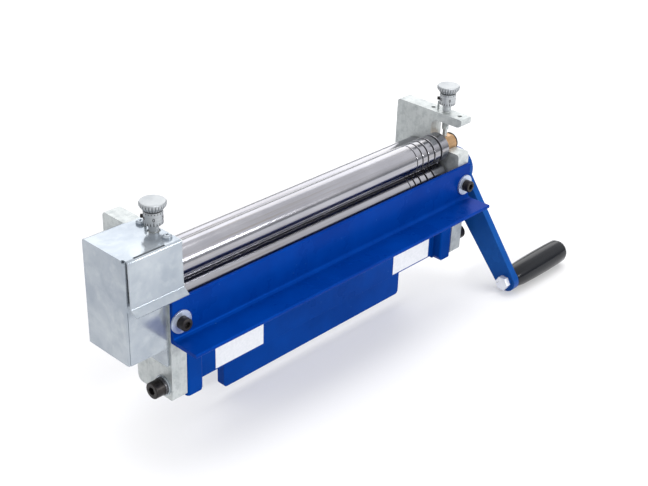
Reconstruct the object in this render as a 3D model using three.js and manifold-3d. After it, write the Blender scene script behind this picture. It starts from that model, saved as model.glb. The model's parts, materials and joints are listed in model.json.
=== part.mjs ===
// Bench slip roll: two end plates carry three rolls. The lower roll is cranked, a gear pair under the
// left cover turns the upper roll, and thumb screws set the gap. Millimetres, Z up, X along the rolls
// towards the crank, Y towards the back. Z is zero at the feet of the end plates.
import * as THREE from 'three';
import { mergeVertices } from 'three/addons/utils/BufferGeometryUtils.js';
import Module from 'manifold-3d';

const wasm = await Module();
wasm.setup();
const { Manifold, Mesh } = wasm;

// Driving sizes.

// Rolls
const rollLength = 305;
const rollRadius = 13;
const rollEndPlay = 1;
const rollGap = 0.8;
const rollEndChamfer = 0.8;
const journalRadius = 6;
const rollAxisY = 22.5;
const upperRollZ = 97.8;
const rearRollY = 47.5;
const rearRollDrop = 12.3;
const grooveRadii = [1.1, 1.3, 1.5, 1.5, 1.3, 1.1];
const grooveFirstOffset = 14;
const groovePitch = 9.4;

// End plates
const plateThickness = 14;
const plateDepth = 71.5;
const footDepth = 40;
const hornDrop = 1.8;
const throatDepth = 32.5;
const throatRise = 22.7;
const armThickness = 7.5;
const armSetback = 0.8;
const overhangHeight = 50;
const overhangFillet = 8;

// Bushes
const bushRadius = 8;
const bushSlotClearance = 0.12;
const bushFitClearance = 0.03;
const journalClearance = 0.15;
const bushEndMargin = 0.3;
const bushProud = 1.2;
const rearTravelUp = 4;
const rearTravelDown = 6;
const liftTravel = 3;

// Gears
const gearTeeth = 12;
const gearWidth = 15;
const gearPressureAngle = 25;
const gearBacklash = 0.25;
const gearStandOff = 3.5;
const keyWidth = 3;
const keyHeight = 3;

// Gear cover
const coverReach = 35.2;
const coverSheet = 1.2;
const coverBack = 47;
const coverSkirt = 25;
const coverFront = 2;
const coverBendRadius = 1.1;
const coverReturnWidth = 2.6;
const coverTopInset = 1.8;
const flapTopY = -0.8;
const flapBottomY = -1.8;
const flapDrop = 36.2;
const lowerPanelRise = 3.4;
const lipY = -7.4;
const lipDrop = 3.8;
const bendSlotInset = 8;
const bendSlotSetback = 2;
const bendSlotWidth = 0.9;
const reliefRadius = 1.3;
const reliefInset = 0.7;
const sheetGap = 0.3;
const backplateThickness = 2;
const backplateBottom = 30;
const backplateDepth = 38;
const backplateTopGap = 0.5;

// Front angle bar
const angleThickness = 3;
const angleTop = 85.5;
const angleFlangeTop = 53.8;
const angleFlangeReach = 27.3;
const angleRootRadius = 3.5;
const barBoltZ = 67.5;

// Lower cross member and vice tang
const blockWidth = 15;
const blockDepth = 20;
const blockHeight = 44;
const blockDrop = 2.5;
const panelSetback = 9;
const panelThickness = 8;
const panelFlangeDepth = 7;
const panelLipThickness = 3;
const tangLength = 207;
const tangThickness = 7.5;
const tangDrop = 28.2;
const tangTop = 34;
const tangCornerRadius = 3.5;
const tangRelief = 0.3;
const sideBoltY = 10;
const sideBoltZ = 10;
const sideBoltReach = 10;
const sideBoltTapping = 2;

// Thumb screws
const screwRadius = 3;
const screwPitch = 1;
const threadClearance = 0.15;
const screwTipRadius = 1.9;
const screwTipLength = 6;
const knobRadius = 9.7;
const knobWaistRadius = 7.4;
const knobRidges = 26;
const knobRidgeDepth = 0.45;
const collarRadius = 7;
const collarHeight = 10;
const bossRadius = 3.7;
const setScrewRadius = 1.45;
const setScrewHeight = 5;
const setScrewProud = 1.8;
const setScrewAngle = 42;
const bossHeight = 5.6;
const bossRunningGap = 0.4;
const armHoleOffset = 14.3;
const armHoleRadius = 2;
const indexPinOffset = 9.2;
const indexPinRadius = 0.95;
const indexPinHeight = 7.6;
const indexPinDepth = 4.5;

// Crank
const crankLength = 115;
const crankAngle = 237.2;
const crankLean = 6.8;
const crankStandOff = 5.3;
const crankThickness = 7;
const crankRootRadius = 14.3;
const crankTipRadius = 9.9;
const crankHubRadius = 17;
const crankHubDepth = 17.5;
const crankHubGap = 1.6;
const crankSpigotRadius = 12;
const crankTipFacing = 0.9;
const gripLength = 79;
const gripEndWall = 12;
const gripBoltFlats = 11.5;
const gripRootRadius = 9.3;
const gripEndRadius = 11.3;
const gripRunningGap = 0.5;

// Fasteners
const m8 = { shank: 4, head: 6.5, headHeight: 8, socket: 3, socketDepth: 4 };
const m6 = { shank: 3, head: 5, headHeight: 6, socket: 2.5, socketDepth: 3 };
const m4 = { shank: 2, head: 3.5, headHeight: 2.6 };
const tappedClearance = 0.05;
const clearanceHole = 0.4;

// Facet counts around turned pieces
const rollFacets = 36;
const bushFacets = 28;
const washerFacets = 24;
const screwFacets = 20;
const pinFacets = 16;

// Sizes that follow.

const halfInside = rollLength / 2 + rollEndPlay;
const halfOutside = halfInside + plateThickness;
const rollCentreDistance = 2 * rollRadius + rollGap;
const lowerRollZ = upperRollZ - rollCentreDistance;
const rearRollZ = upperRollZ - rearRollDrop;
const hornHeight = upperRollZ - hornDrop;
const armUnderside = upperRollZ + throatRise;
const plateHeight = armUnderside + armThickness;
const gearModule = rollCentreDistance / gearTeeth;
const gearStart = halfOutside + gearStandOff;
const gearEnd = gearStart + gearWidth;
const plateMid = halfInside + plateThickness / 2;
const crankHubFace = halfOutside + crankHubDepth;
const crankSlope = Math.tan(THREE.MathUtils.degToRad(crankLean));
const crankDirection = THREE.MathUtils.degToRad(crankAngle);
const crankTipY = rollAxisY + crankLength * Math.cos(crankDirection);
const crankTipZ = lowerRollZ + crankLength * Math.sin(crankDirection);
const crankTipMid = halfOutside + crankStandOff + crankLength * crankSlope + crankThickness / 2;
const crankTipInner = crankTipMid - crankThickness / 2 - crankTipFacing;
const crankTipOuter = crankTipMid + crankThickness / 2 + crankTipFacing;

// Geometry helpers.

// Removes doubled points and collapsed faces, and turns the faces outward.
function clean(geometry) {
  const bare = geometry.clone();
  bare.deleteAttribute('normal');
  bare.deleteAttribute('uv');
  const merged = mergeVertices(bare, 1e-4);
  const index = merged.index.array;
  const kept = [];
  for (let i = 0; i < index.length; i += 3) {
    const [a, b, c] = [index[i], index[i + 1], index[i + 2]];
    if (a !== b && b !== c && c !== a) kept.push(a, b, c);
  }
  merged.setIndex(kept);
  if (signedVolume(merged) < 0) {
    for (let i = 0; i < kept.length; i += 3) {
      [kept[i + 1], kept[i + 2]] = [kept[i + 2], kept[i + 1]];
    }
    merged.setIndex(kept);
  }
  return merged;
}

function signedVolume(geometry) {
  const position = geometry.attributes.position;
  const index = geometry.index.array;
  const a = new THREE.Vector3();
  const b = new THREE.Vector3();
  const c = new THREE.Vector3();
  let volume = 0;
  for (let i = 0; i < index.length; i += 3) {
    a.fromBufferAttribute(position, index[i]);
    b.fromBufferAttribute(position, index[i + 1]);
    c.fromBufferAttribute(position, index[i + 2]);
    volume += a.dot(b.cross(c)) / 6;
  }
  return volume;
}

function toManifold(geometry) {
  const merged = clean(geometry);
  return new Manifold(new Mesh({
    numProp: 3,
    vertProperties: new Float32Array(merged.attributes.position.array),
    triVerts: new Uint32Array(merged.index.array),
  }));
}

function fromManifold(body) {
  const mesh = body.getMesh();
  const geometry = new THREE.BufferGeometry();
  const points = new Float32Array(mesh.numVert * 3);
  for (let i = 0; i < mesh.numVert; i += 1) {
    for (let k = 0; k < 3; k += 1) points[3 * i + k] = mesh.vertProperties[i * mesh.numProp + k];
  }
  geometry.setAttribute('position', new THREE.BufferAttribute(points, 3));
  geometry.setIndex(Array.from(mesh.triVerts));
  return geometry;
}

// Joins the added geometries and takes the cut ones away.
function carve(added, cut = []) {
  let body = toManifold(added[0]);
  for (const item of added.slice(1)) body = body.add(toManifold(item));
  for (const item of cut) body = body.subtract(toManifold(item));
  return fromManifold(body);
}

// Rounds the corners of a closed outline given as [x, y, radius] points.
function rounded(corners, steps = 3) {
  const points = [];
  const count = corners.length;
  corners.forEach(([x, y, radius = 0], i) => {
    const here = new THREE.Vector2(x, y);
    if (radius === 0) {
      points.push(here);
      return;
    }
    const before = new THREE.Vector2(...corners[(i + count - 1) % count]);
    const after = new THREE.Vector2(...corners[(i + 1) % count]);
    const back = before.sub(here).normalize();
    const ahead = after.sub(here).normalize();
    const half = Math.acos(THREE.MathUtils.clamp(back.dot(ahead), -1, 1)) / 2;
    const bisector = back.clone().add(ahead).normalize();
    const centre = here.clone().addScaledVector(bisector, radius / Math.sin(half));
    const reach = radius / Math.tan(half);
    const start = here.clone().addScaledVector(back, reach).sub(centre);
    const end = here.clone().addScaledVector(ahead, reach).sub(centre);
    const from = Math.atan2(start.y, start.x);
    let sweep = Math.atan2(end.y, end.x) - from;
    if (sweep > Math.PI) sweep -= 2 * Math.PI;
    if (sweep < -Math.PI) sweep += 2 * Math.PI;
    for (let k = 0; k <= steps; k += 1) {
      const angle = from + (sweep * k) / steps;
      const offset = new THREE.Vector2(radius * Math.cos(angle), radius * Math.sin(angle));
      points.push(centre.clone().add(offset));
    }
  });
  return points;
}

function arc(x, y, radius, fromDeg, toDeg, steps) {
  const points = [];
  for (let i = 0; i <= steps; i += 1) {
    const angle = THREE.MathUtils.degToRad(fromDeg + ((toDeg - fromDeg) * i) / steps);
    points.push(new THREE.Vector2(x + radius * Math.cos(angle), y + radius * Math.sin(angle)));
  }
  return points;
}

function circle(x, y, radius, segments = bushFacets) {
  return arc(x, y, radius, 0, 360, segments).slice(0, -1);
}

function slot(x, yLow, yHigh, radius, steps = bushFacets / 2) {
  return [...arc(x, yLow, radius, 180, 360, steps), ...arc(x, yHigh, radius, 0, 180, steps)];
}

function outline(points, holes = []) {
  const shape = new THREE.Shape(points);
  for (const hole of holes) shape.holes.push(new THREE.Path(hole));
  return shape;
}

function extrude(shape, length) {
  return new THREE.ExtrudeGeometry(shape, { depth: length, bevelEnabled: false, steps: 1 });
}

// The shape's x and y become Y and Z, and it runs along X.
function alongX(shape, from, to) {
  const geometry = extrude(shape, to - from);
  const turn = new THREE.Matrix4().set(0, 0, 1, from, 1, 0, 0, 0, 0, 1, 0, 0, 0, 0, 0, 1);
  return geometry.applyMatrix4(turn);
}

// The shape's x and y become X and Z, and it runs along Y.
function alongY(shape, from, to) {
  const geometry = extrude(shape, to - from);
  const turn = new THREE.Matrix4().set(1, 0, 0, 0, 0, 0, -1, to, 0, 1, 0, 0, 0, 0, 0, 1);
  return geometry.applyMatrix4(turn);
}

// The shape's x and y stay X and Y, and it runs along Z.
function alongZ(shape, from, to) {
  return extrude(shape, to - from).translate(0, 0, from);
}

function box(x0, x1, y0, y1, z0, z1) {
  const geometry = new THREE.BoxGeometry(x1 - x0, y1 - y0, z1 - z0);
  return geometry.translate((x0 + x1) / 2, (y0 + y1) / 2, (z0 + z1) / 2);
}

// A turned body: profile points are [radius, position along the axis], closed on the axis.
function turned(profile, segments) {
  const points = profile.map(([radius, at]) => new THREE.Vector2(radius, at));
  return new THREE.LatheGeometry(points, segments);
}

function turnedX(profile, y, z, segments = bushFacets) {
  const turn = new THREE.Matrix4().set(0, 1, 0, 0, 1, 0, 0, y, 0, 0, -1, z, 0, 0, 0, 1);
  return turned(profile, segments).applyMatrix4(turn);
}

function turnedY(profile, x, z, segments = screwFacets) {
  return turned(profile, segments).translate(x, 0, z);
}

function turnedZ(profile, x, y, segments = screwFacets) {
  const turn = new THREE.Matrix4().set(1, 0, 0, x, 0, 0, -1, y, 0, 1, 0, 0, 0, 0, 0, 1);
  return turned(profile, segments).applyMatrix4(turn);
}

function rodX(radius, y, z, from, to, segments = screwFacets) {
  return alongX(outline(circle(y, z, radius, segments)), from, to);
}

function rodY(radius, x, z, from, to, segments = screwFacets) {
  return alongY(outline(circle(x, z, radius, segments)), from, to);
}

function rodZ(radius, x, y, from, to, segments = screwFacets) {
  return alongZ(outline(circle(x, y, radius, segments)), from, to);
}

function ringX(outer, inner, y, z, from, to, segments = bushFacets) {
  return alongX(outline(circle(y, z, outer, segments), [circle(y, z, inner, segments)]), from, to);
}

function hexagon(x, y, acrossFlats) {
  return circle(x, y, acrossFlats / Math.sqrt(3), 6);
}

// Closed skin through rings of points, each ring at its own height along Z.
function loftZ(rings, x, y) {
  const count = rings[0].points.length;
  const positions = [];
  const index = [];
  for (const ring of rings) {
    for (const point of ring.points) positions.push(x + point.x, y + point.y, ring.z);
  }
  for (let r = 0; r + 1 < rings.length; r += 1) {
    for (let i = 0; i < count; i += 1) {
      const a = r * count + i;
      const b = r * count + ((i + 1) % count);
      index.push(a, b, b + count, a, b + count, a + count);
    }
  }
  const low = positions.length / 3;
  positions.push(x, y, rings[0].z);
  const high = low + 1;
  positions.push(x, y, rings[rings.length - 1].z);
  const top = (rings.length - 1) * count;
  for (let i = 0; i < count; i += 1) {
    const next = (i + 1) % count;
    index.push(low, next, i);
    index.push(high, top + i, top + next);
  }
  const geometry = new THREE.BufferGeometry();
  geometry.setAttribute('position', new THREE.Float32BufferAttribute(positions, 3));
  geometry.setIndex(index);
  return geometry;
}

function mirroredX(geometry) {
  return clean(geometry.clone().scale(-1, 1, 1));
}

// Materials.

function material(color, roughness, metalness) {
  return () => new THREE.MeshStandardMaterial({ color, roughness, metalness });
}

const zinc = material(0xd4d8da, 0.28, 0.9);
const plateSteel = material(0xb9bfbf, 0.45, 0.75);
const polished = material(0xc9c8d2, 0.12, 1);
const bronze = material(0xcd9b5f, 0.35, 0.9);
const blackOxide = material(0x1b1a1c, 0.45, 0.5);
const blueFlange = material(0x0a35a4, 0.3, 0.1);
const bluePanel = material(0x12459c, 0.35, 0.1);
const blueCrank = material(0x0b3a92, 0.3, 0.1);
const whiteWasher = material(0xc3cfe6, 0.3, 0.7);
const gearSteel = material(0x8d9193, 0.4, 0.9);
const satinKnob = material(0xcfd4d6, 0.35, 0.85);
const blackPlastic = material(0x23242a, 0.25, 0);
const springSteel = material(0x3a3c40, 0.35, 0.8);

const group = new THREE.Group();
group.name = 'slip_roll_machine';

function piece(name, geometry, makeMaterial) {
  const solid = clean(geometry);
  const shown = solid.toNonIndexed();
  shown.computeVertexNormals();
  const mesh = new THREE.Mesh(shown, makeMaterial());
  mesh.name = name;
  group.add(mesh);
}

// End plates.

// The C profile, from the front of the foot round to the horn that carries the upper bush.
function plateOutline() {
  const seat = bushRadius + bushSlotClearance;
  const seatStart = Math.asin((hornHeight - upperRollZ) / seat);
  const seatFrontDeg = 180 - THREE.MathUtils.radToDeg(seatStart);
  const lower = rounded([
    [0, 0, 1.5],
    [footDepth, 0, 5],
    [footDepth, overhangHeight, overhangFillet],
    [plateDepth, overhangHeight, 5],
    [plateDepth, plateHeight, 3],
    [armSetback, plateHeight, 1],
    [armSetback, armUnderside, 4.5],
    [throatDepth, armUnderside, 7],
    [throatDepth, upperRollZ + 3.4, 0],
    [rollAxisY + seat, upperRollZ + 1.4, 0],
  ]);
  const seatArc = arc(rollAxisY, upperRollZ, seat, 360, seatFrontDeg, 20);
  const horn = rounded([
    [seatArc[seatArc.length - 1].x, hornHeight, 0],
    [0, hornHeight, 3],
    [0, hornHeight / 2, 0],
  ]).slice(1);
  return [...lower, ...seatArc, ...horn];
}

function endPlate(side) {
  const rearSlotRadius = bushRadius + bushSlotClearance;
  const holes = [
    circle(rollAxisY, lowerRollZ, bushRadius + bushFitClearance),
    slot(rearRollY, rearRollZ - rearTravelDown, rearRollZ + rearTravelUp, rearSlotRadius),
    circle(sideBoltY, sideBoltZ, m8.shank + clearanceHole, screwFacets),
  ];
  const blank = alongX(outline(plateOutline(), holes), halfInside, halfOutside);
  const cuts = [
    rodZ(screwRadius + threadClearance, plateMid, rollAxisY, armUnderside - 5, plateHeight + 5),
    rodZ(screwRadius + threadClearance, plateMid, rearRollY, overhangHeight - 5, rearRollZ),
    rodZ(armHoleRadius, plateMid, rollAxisY - armHoleOffset, armUnderside - 5, plateHeight + 5, pinFacets),
    rodZ(armHoleRadius, plateMid, rollAxisY + armHoleOffset, plateHeight - 12, plateHeight + 5, pinFacets),
    rodZ(
      indexPinRadius + tappedClearance,
      plateMid,
      rollAxisY + indexPinOffset,
      plateHeight - indexPinDepth - 0.5,
      plateHeight + 5,
      pinFacets,
    ),
    rodY(m6.shank + tappedClearance, plateMid, barBoltZ, -5, 13),
  ];
  if (side === 'left') {
    for (const [y, z] of backplateScrews) {
      cuts.push(rodX(m4.shank + tappedClearance, y, z, halfOutside - 9, halfOutside + 5, pinFacets));
    }
  }
  const plate = carve([blank], cuts);
  return side === 'left' ? mirroredX(plate) : plate;
}

// One screw in the foot of the plate and one in the arm, clear of both gears.
const backplateScrews = [
  [8, backplateBottom + 16],
  [rollAxisY - 7, plateHeight - armThickness / 2],
];

piece('end_plate_left', endPlate('left'), plateSteel);
piece('end_plate_right', endPlate('right'), plateSteel);

// Rolls.

// Rounded wire grooves near the crank end, as profile points from the outer end inward.
function grooveProfile() {
  const points = [];
  grooveRadii.forEach((radius, i) => {
    const centre = rollLength / 2 - grooveFirstOffset - i * groovePitch;
    for (const deg of [0, 60, 120, 180]) {
      const angle = THREE.MathUtils.degToRad(deg);
      points.push([rollRadius - radius * Math.sin(angle), centre + radius * Math.cos(angle)]);
    }
  });
  return points;
}

// The roll body with a journal on each side; ends are [radius, position] pairs from the body outward.
function rollBody(leftEnds, rightEnds, grooves, y, z) {
  const end = rollLength / 2;
  const profile = [
    [0, rightEnds[rightEnds.length - 1][1]],
    ...[...rightEnds].reverse(),
    [rightEnds[0][0], end],
    [rollRadius - rollEndChamfer, end],
    [rollRadius, end - rollEndChamfer],
    ...grooves,
    [rollRadius, -end + rollEndChamfer],
    [rollRadius - rollEndChamfer, -end],
    [leftEnds[0][0], -end],
    ...leftEnds,
    [0, leftEnds[leftEnds.length - 1][1]],
  ];
  return turnedX(profile, y, z, rollFacets);
}

const ringGrooveRadius = journalRadius - 0.8;
const ringThickness = 1;
const ringClearance = 0.08;
const ringGrooveWidth = 1.2;
const gearRingAt = gearEnd + 0.1;
const leftShaftEnd = gearRingAt + ringGrooveWidth + 2;
const endRingAt = halfOutside + bushProud;
const upperShaftEnd = endRingAt + ringGrooveWidth + 1.6;

function gearJournal() {
  return [
    [journalRadius, -gearRingAt],
    [ringGrooveRadius, -gearRingAt],
    [ringGrooveRadius, -gearRingAt - ringGrooveWidth],
    [journalRadius, -gearRingAt - ringGrooveWidth],
    [journalRadius, -leftShaftEnd + 0.8],
    [journalRadius - 0.8, -leftShaftEnd],
  ];
}

const keyStart = gearStart + 1.5;
const keyEnd = gearEnd - 1.5;

function keySeat(z) {
  const half = keyWidth / 2;
  const low = z + journalRadius - keyHeight / 2;
  return box(-keyEnd, -keyStart, rollAxisY - half, rollAxisY + half, low, z + journalRadius + 2);
}

const upperRightEnds = [
  [journalRadius, endRingAt],
  [ringGrooveRadius, endRingAt],
  [ringGrooveRadius, endRingAt + ringGrooveWidth],
  [journalRadius, endRingAt + ringGrooveWidth],
  [journalRadius, upperShaftEnd - 0.8],
  [journalRadius - 0.8, upperShaftEnd],
];
const grooves = grooveProfile();
const upperBlank = rollBody(gearJournal(), upperRightEnds, grooves, rollAxisY, upperRollZ);
piece('upper_roll', carve([upperBlank], [keySeat(upperRollZ)]), polished);

// The lower roll's right journal carries the crank on a flat.
const crankSeatRadius = 5;
const crankFlatDepth = 1;
const crankSeatEnd = crankHubFace - 0.4;
const crankScrewDepth = 14;
const lowerRightEnds = [
  [journalRadius, halfOutside + crankHubGap - 0.3],
  [crankSeatRadius, halfOutside + crankHubGap - 0.3],
  [crankSeatRadius, crankSeatEnd - 0.5],
  [crankSeatRadius - 0.5, crankSeatEnd],
];
const lowerBlank = rollBody(gearJournal(), lowerRightEnds, grooves, rollAxisY, lowerRollZ);
const crankFlatZ = lowerRollZ + crankSeatRadius - crankFlatDepth;
const crankFlatStart = halfOutside + crankHubGap + 2;
const lowerCuts = [
  keySeat(lowerRollZ),
  box(crankFlatStart, crankSeatEnd + 3, rollAxisY - 8, rollAxisY + 8, crankFlatZ, crankFlatZ + 8),
  rodX(m6.shank + tappedClearance, rollAxisY, lowerRollZ, crankSeatEnd - crankScrewDepth, crankSeatEnd + 3),
];
piece('lower_roll', carve([lowerBlank], lowerCuts), polished);

const rearShaftEnd = halfOutside - 1;
const rearEnds = (sign) => [
  [journalRadius, sign * (rearShaftEnd - 0.8)],
  [journalRadius - 0.8, sign * rearShaftEnd],
];
piece('rear_roll', rollBody(rearEnds(-1), rearEnds(1), [], rearRollY, rearRollZ), polished);

// Bushes.

function bush(y, z, from, to) {
  return ringX(bushRadius, journalRadius + journalClearance, y, z, from, to);
}

// The rear bushes have a flat underneath where their adjusting screw pushes.
function rearBush() {
  const from = halfInside + bushEndMargin;
  const to = halfOutside - bushEndMargin;
  const flat = rearRollZ - bushRadius + 0.8;
  const whole = bush(rearRollY, rearRollZ, from, to);
  return carve([whole], [box(from - 1, to + 1, rearRollY - 9, rearRollY + 9, flat - 5, flat)]);
}

// The upper bushes have a flat on top where the thumb screw presses.
const bushFlatDepth = 0.6;
const upperBushTop = upperRollZ + bushRadius - bushFlatDepth;
function upperBush(from, to) {
  const whole = bush(rollAxisY, upperRollZ, from, to);
  const above = box(from - 1, to + 1, rollAxisY - 9, rollAxisY + 9, upperBushTop, upperBushTop + 5);
  return carve([whole], [above]);
}

const bushInner = halfInside + bushEndMargin;
piece('upper_bush_left', mirroredX(upperBush(bushInner, halfOutside)), bronze);
piece('upper_bush_right', upperBush(bushInner, halfOutside + bushProud - 0.2), bronze);
piece('lower_bush_left', bush(rollAxisY, lowerRollZ, -halfOutside, -bushInner), bronze);
piece('lower_bush_right', bush(rollAxisY, lowerRollZ, bushInner, halfOutside + bushProud - 0.2), bronze);
piece('rear_bush_left', mirroredX(rearBush()), bronze);
piece('rear_bush_right', rearBush(), bronze);

// Gears, keys and retaining rings.

// One involute tooth outline, centred on the given direction.
function toothPoints(centreAngle, pitchRadius) {
  const pressure = THREE.MathUtils.degToRad(gearPressureAngle);
  const baseRadius = pitchRadius * Math.cos(pressure);
  const tipRadius = pitchRadius + gearModule;
  const rootRadius = pitchRadius - 1.25 * gearModule;
  const involute = (angle) => Math.tan(angle) - angle;
  const halfTooth = (Math.PI / 2 / gearTeeth) - gearBacklash / 2 / pitchRadius;
  const halfAt = (radius) => {
    const angle = Math.acos(Math.min(1, baseRadius / radius));
    return halfTooth + involute(pressure) - involute(angle);
  };
  const start = Math.max(baseRadius, rootRadius);
  const flank = [];
  const steps = 3;
  for (let i = 0; i <= steps; i += 1) {
    const radius = start + ((tipRadius - start) * i) / steps;
    flank.push([radius, halfAt(radius)]);
  }
  const rootHalf = halfAt(start) + 0.03;
  const polar = [[rootRadius, -rootHalf], ...flank.map(([r, a]) => [r, -a])];
  const mirrored = [...flank].reverse().map(([r, a]) => [r, a]);
  return [...polar, ...mirrored, [rootRadius, rootHalf]].map(
    ([r, a]) => new THREE.Vector2(r * Math.cos(centreAngle + a), r * Math.sin(centreAngle + a)),
  );
}

// A spur gear with keyway; firstTooth is the direction of one tooth's centre.
function gear(z, firstTooth) {
  const pitchRadius = rollCentreDistance / 2;
  const points = [];
  for (let i = 0; i < gearTeeth; i += 1) {
    for (const p of toothPoints(firstTooth + (2 * Math.PI * i) / gearTeeth, pitchRadius)) {
      points.push(new THREE.Vector2(p.x + rollAxisY, p.y + z));
    }
  }
  const bore = journalRadius + bushFitClearance;
  const blank = alongX(outline(points, [circle(rollAxisY, z, bore, rollFacets)]), -gearEnd, -gearStart);
  const half = keyWidth / 2 + bushFitClearance;
  const keyTop = z + journalRadius + keyHeight / 2 + bushFitClearance;
  const keyway = box(-gearEnd - 1, -gearStart + 1, rollAxisY - half, rollAxisY + half, z, keyTop);
  return carve([blank], [keyway]);
}

piece('lower_gear', gear(lowerRollZ, Math.PI / 2), gearSteel);
piece('upper_gear', gear(upperRollZ, -Math.PI / 2 + Math.PI / gearTeeth), gearSteel);

function gearKey(z) {
  const half = keyWidth / 2;
  const low = z + journalRadius - keyHeight / 2;
  return box(-keyEnd, -keyStart, rollAxisY - half, rollAxisY + half, low, low + keyHeight);
}

piece('upper_gear_key', gearKey(upperRollZ), springSteel);
piece('lower_gear_key', gearKey(lowerRollZ), springSteel);

// An open retaining ring in its groove, its gap facing up or down.
function retainingRing(z, from, gapUp, outer) {
  const inner = ringGrooveRadius + ringClearance;
  const ring = ringX(outer, inner, rollAxisY, z, from, from + ringThickness, washerFacets);
  const gapLow = gapUp ? z : z - 12;
  const gap = box(from - 1, from + 3, rollAxisY - 2, rollAxisY + 2, gapLow, gapLow + 12);
  return carve([ring], [gap]);
}

const leftRingFrom = -gearRingAt - ringGrooveWidth + 0.1;
const rightRingFrom = endRingAt + 0.1;
piece('upper_gear_ring', retainingRing(upperRollZ, leftRingFrom, true, journalRadius + 2), springSteel);
piece('lower_gear_ring', retainingRing(lowerRollZ, leftRingFrom, false, journalRadius + 2), springSteel);
const endRing = retainingRing(upperRollZ, rightRingFrom, false, journalRadius + 2.2);
piece('upper_roll_end_ring', endRing, springSteel);

// Gear cover and its backplate.

// Closed outline of a bent sheet. The path is its outer face and the sheet lies to the left of travel.
function sheetOutline(path, thickness, bendRadius) {
  const points = path.map(([x, y]) => new THREE.Vector2(x, y));
  const directions = points.slice(1).map((p, i) => p.clone().sub(points[i]).normalize());
  const normal = (d) => new THREE.Vector2(-d.y, d.x);
  const inner = [];
  const outer = [];
  points.forEach((p, i) => {
    const before = directions[Math.max(i - 1, 0)];
    const after = directions[Math.min(i, directions.length - 1)];
    const middle = normal(before).add(normal(after)).normalize();
    const stretch = thickness / middle.dot(normal(after));
    const turn = before.x * after.y - before.y * after.x;
    const isEnd = i === 0 || i === points.length - 1;
    const outerRadius = turn > 0 ? bendRadius + thickness : bendRadius;
    const innerRadius = turn > 0 ? bendRadius : bendRadius + thickness;
    outer.push([p.x, p.y, isEnd ? 0 : outerRadius]);
    inner.push([p.x + middle.x * stretch, p.y + middle.y * stretch, isEnd ? 0 : innerRadius]);
  });
  return rounded([...outer, ...inner.reverse()], 3);
}

const coverOuter = -(halfOutside + coverReach);
const coverTop = plateHeight + coverSheet;
const coverBottom = lowerRollZ - coverSkirt;
const coverPanelEnd = -(halfOutside + backplateThickness + sheetGap);
const coverTopEnd = -halfInside - coverTopInset;
const flapBottomZ = coverTop - flapDrop;
const lipZ = flapBottomZ - lipDrop;
const coverLowerPanelTop = flapBottomZ + lowerPanelRise;

function gearCover() {
  const wrap = sheetOutline([
    [coverBack, coverBottom],
    [coverBack, coverTop],
    [flapTopY, coverTop],
    [flapBottomY, flapBottomZ],
    [lipY, lipZ],
  ], coverSheet, coverBendRadius);
  const strip = alongX(outline(wrap), coverOuter, coverTopEnd);
  const lowerFront = sheetOutline([
    [coverOuter, coverBack - coverSheet / 2],
    [coverOuter, coverFront],
    [coverPanelEnd, coverFront],
  ], coverSheet, coverBendRadius);
  const upperReturn = sheetOutline([
    [coverOuter, coverBack - coverSheet / 2],
    [coverOuter, coverFront],
    [coverOuter + coverReturnWidth, coverFront],
  ], coverSheet, coverBendRadius);
  const lower = alongZ(outline(lowerFront), coverBottom, coverLowerPanelTop);
  const upper = alongZ(outline(upperReturn), coverLowerPanelTop - 0.5, coverTop - 0.4);
  const plateFace = -halfOutside - sheetGap;
  const slotFront = flapTopY + bendSlotSetback;
  const topHoles = [
    [bossRadius + 1, rollAxisY],
    [m4.shank + clearanceHole, rollAxisY - armHoleOffset],
    [m4.shank + clearanceHole, rollAxisY + armHoleOffset],
    [indexPinRadius + sheetGap, rollAxisY + indexPinOffset],
  ];
  const cuts = [
    // The rear sheet stops short of the end plate and only the top reaches over it.
    box(plateFace, coverTopEnd + 1, coverBack - 5, coverBack + 2, coverBottom - 1, plateHeight),
    box(plateFace, coverTopEnd + 1, coverBack - 3, coverBack + 2, plateHeight - 1, coverTop + 1),
    // The flap is notched clear of the left sheet and of the bend relief.
    box(coverOuter - 1, coverOuter + coverSheet + 0.5, lipY - 2, coverFront - 0.4, lipZ - 3, coverTop - 0.8),
    rodY(reliefRadius, coverOuter + reliefInset, coverTop - reliefInset, lipY, coverFront + 2.5, pinFacets),
    // The long slot that makes the flap bend where it should.
    box(
      coverOuter + bendSlotInset,
      coverPanelEnd + 1,
      slotFront,
      slotFront + bendSlotWidth,
      coverTop - coverSheet - 1,
      coverTop + 1,
    ),
    ...topHoles.map(([radius, y]) => rodZ(radius, -plateMid, y, plateHeight - 2, coverTop + 2, washerFacets)),
  ];
  return carve([strip, lower, upper], cuts);
}

piece('gear_cover', gearCover(), zinc);

function coverBackplate() {
  const top = plateHeight - backplateTopGap;
  const front = coverFront + sheetGap;
  const corners = rounded([
    [front, backplateBottom, 1],
    [backplateDepth, backplateBottom, 3],
    [backplateDepth, top, 2],
    [front, top, 1],
  ]);
  const shaft = journalRadius + 1;
  const holes = [
    slot(rollAxisY, upperRollZ, upperRollZ + liftTravel, shaft),
    circle(rollAxisY, lowerRollZ, shaft, bushFacets),
    ...backplateScrews.map(([y, z]) => circle(y, z, m4.shank + clearanceHole, pinFacets)),
  ];
  return alongX(outline(corners, holes), -halfOutside - backplateThickness, -halfOutside);
}

piece('cover_backplate', coverBackplate(), zinc);

// A pan head screw with its cross recess left to the finish, pointing down from z.
function panScrewZ(x, y, z, length) {
  return turnedZ([
    [0, z - length],
    [m4.shank - 0.06, z - length],
    [m4.shank - 0.06, z],
    [m4.head, z],
    [m4.head, z + m4.headHeight * 0.55],
    [m4.head * 0.62, z + m4.headHeight],
    [0, z + m4.headHeight],
  ], x, y, pinFacets);
}

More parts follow.
